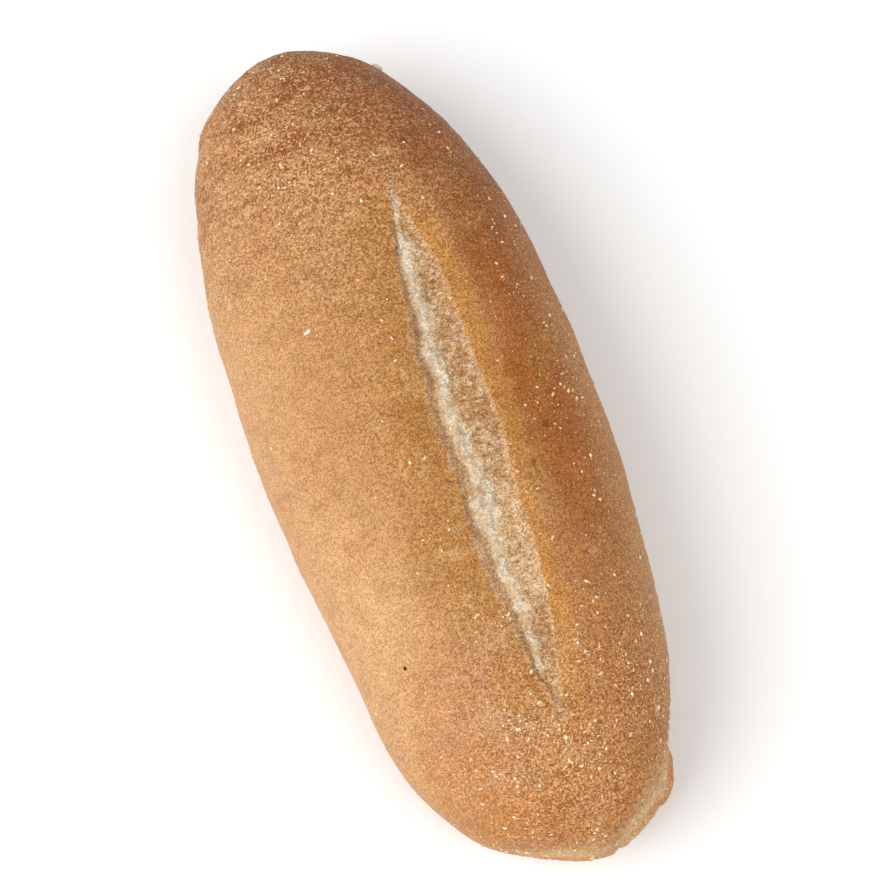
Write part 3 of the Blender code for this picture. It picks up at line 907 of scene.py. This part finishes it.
def lay_grains(name, centres, normals, size, stretch, turn, subdivisions, rng, material):
    """Small uneven lumps laid on the crust at these centres and joined into one piece."""
    count = len(centres)
    shape, faces = grain_shape(subdivisions)
    jitter = 1.0 + rng.uniform(-0.24, 0.24, (count, len(shape)))
    local = shape[None] * jitter[:, :, None] * (stretch * size[:, None])[:, None]
    aside = np.stack([np.cos(turn), np.sin(turn), rng.uniform(-0.3, 0.3, count)], axis=1)
    first = aside - normals * (aside * normals).sum(axis=1, keepdims=True)
    first /= np.linalg.norm(first, axis=1, keepdims=True)
    axes = np.stack([first, np.cross(normals, first), normals], axis=1)
    lift = (0.20 * size * stretch[:, 2])[:, None]
    points = np.einsum("gpi,gij->gpj", local, axes) + (centres + normals * lift)[:, None]
    index = faces[None] + np.arange(count)[:, None, None] * len(shape)
    return new_piece(name, points.reshape(-1, 3), index.reshape(-1, 3), material)


def scatter(name, triangles, count, sizes, small_bias, stretches, subdivisions, seed, material):
    """Grains of one kind, strewn over the crust."""
    rng = np.random.default_rng(seed)
    edges = np.cross(triangles[:, 1] - triangles[:, 0], triangles[:, 2] - triangles[:, 0])
    areas = np.linalg.norm(edges, axis=1)
    chance = areas * grain_density(triangles.mean(axis=1))
    chosen = rng.choice(len(triangles), count, p=chance / chance.sum())
    spots = rng.dirichlet((1.0, 1.0, 1.0), count)
    centres = (triangles[chosen] * spots[:, :, None]).sum(axis=1)
    size = sizes[0] + (sizes[1] - sizes[0]) * rng.uniform(0.0, 1.0, count) ** small_bias
    stretch = np.stack([rng.uniform(*limits, count) for limits in stretches], axis=1)
    turn = rng.uniform(0.0, 2.0 * np.pi, count)
    return lay_grains(name, centres, edges[chosen] / areas[chosen][:, None], size, stretch, turn,
                      subdivisions, rng, material)


# Single large flakes: (place on the crust, degrees turned from +X, length, thickness as a share of it)
HUSKS = (((-0.0284, -0.0196, 0.0530), 104.0, 0.0022, 0.20), ((-0.0925, 0.0221, 0.0298), 20.0, 0.0026, 0.50),
         ((0.0590, 0.0110, 0.0500), 110.0, 0.0011, 0.25), ((-0.0040, 0.0330, 0.0420), 30.0, 0.0012, 0.25))


def make_husks(triangles, material):
    """The few single flakes, each lying flat on the crust nearest its place."""
    middles = triangles.mean(axis=1)
    nearest = [int(np.argmin(((middles - place) ** 2).sum(axis=1))) for place, _, _, _ in HUSKS]
    corners = triangles[nearest]
    normals = np.cross(corners[:, 1] - corners[:, 0], corners[:, 2] - corners[:, 0])
    normals /= np.linalg.norm(normals, axis=1, keepdims=True)
    size = np.array([length for _, _, length, _ in HUSKS])
    turn = np.radians([degrees for _, degrees, _, _ in HUSKS])
    stretch = np.array([(1.0, 0.42, thickness) for _, _, _, thickness in HUSKS])
    rng = np.random.default_rng(74)
    return lay_grains("husks", middles[nearest], normals, size, stretch, turn, 3, rng, material)


def make_meal(crust):
    """The grains and flakes that lie on the crust, one piece for each kind."""
    triangles = crust_triangles(crust)
    chunky = ((0.9, 1.5), (0.6, 1.0), (0.5, 0.8))
    flat = ((1.5, 2.3), (0.8, 1.1), (0.25, 0.40))
    cornmeal = grain_material("cornmeal", color(244, 224, 188), color(226, 178, 104))
    semolina = grain_material("semolina", color(240, 214, 172), color(222, 176, 112))
    bran = grain_material("bran", color(230, 198, 150), color(190, 134, 76))
    husk = grain_material("husk", color(232, 216, 190), color(222, 192, 150))
    return (scatter("cornmeal", triangles, 640, (0.00042, 0.00092), 1.7, chunky, 2, 71, cornmeal),
            scatter("semolina", triangles, 5200, (0.00018, 0.00040), 1.3, chunky, 1, 72, semolina),
            scatter("bran", triangles, 30, (0.0005, 0.0008), 1.5, flat, 2, 73, bran),
            make_husks(triangles, husk))


# ---- Studio ----------------------------------------------------------------------------------

CAMERA_ELEVATION = 77.0
CAMERA_AZIMUTH = -21.4               # degrees from +X towards +Y
CAMERA_DISTANCE = 0.62
CAMERA_LENS = 105.0
LOOK_AT = (0.0016, 0.0027, 0.0239)


def direction(elevation, azimuth):
    """The way from the roll to something at this elevation and azimuth, in degrees."""
    up, around = math.radians(elevation), math.radians(azimuth)
    return Vector((math.cos(up) * math.cos(around), math.cos(up) * math.sin(around), math.sin(up)))


def aim(item, away, distance, target=LOOK_AT):
    """Puts an item this far from the target and turns it to face the target."""
    item.location = Vector(target) + away * distance
    item.rotation_euler = (-away).to_track_quat("-Z", "Y").to_euler()
    bpy.context.scene.collection.objects.link(item)


def make_camera():
    data = bpy.data.cameras.new("camera")
    data.lens = CAMERA_LENS
    data.sensor_width = 36.0
    data.clip_start = 0.01
    camera = bpy.data.objects.new("camera", data)
    aim(camera, direction(CAMERA_ELEVATION, CAMERA_AZIMUTH), CAMERA_DISTANCE)
    bpy.context.scene.camera = camera


def make_light(name, elevation, azimuth, distance, size, power, tint):
    data = bpy.data.lights.new(name, "AREA")
    data.shape = "DISK"
    data.size = size
    data.energy = power
    data.color = tint
    aim(bpy.data.objects.new(name, data), direction(elevation, azimuth), distance)


def make_studio():
    corners = np.array([(-3.0, -3.0, 0.0), (3.0, -3.0, 0.0), (3.0, 3.0, 0.0), (-3.0, 3.0, 0.0)])
    floor = new_piece("floor", corners, np.array([(0, 1, 2, 3)]), floor_material())
    floor.location.z = -0.0002
    make_light("key", 48.0, -90.0, 1.2, 1.10, 11.0, (1.0, 0.995, 0.985))
    make_light("fill", 60.0, 40.0, 1.4, 0.9, 5.4, (0.98, 0.99, 1.0))
    world = bpy.data.worlds.new("studio")
    world.use_nodes = True
    world.node_tree.nodes["Background"].inputs["Color"].default_value = (1.0, 1.0, 1.0, 1.0)
    world.node_tree.nodes["Background"].inputs["Strength"].default_value = 0.56
    bpy.context.scene.world = world
    bpy.context.scene.view_settings.view_transform = "Standard"


def main():
    make_studio()
    make_camera()
    crust = make_crust()
    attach(crust, "root")
    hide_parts("roll")
    for piece in make_meal(crust):
        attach(piece, "root")


main()
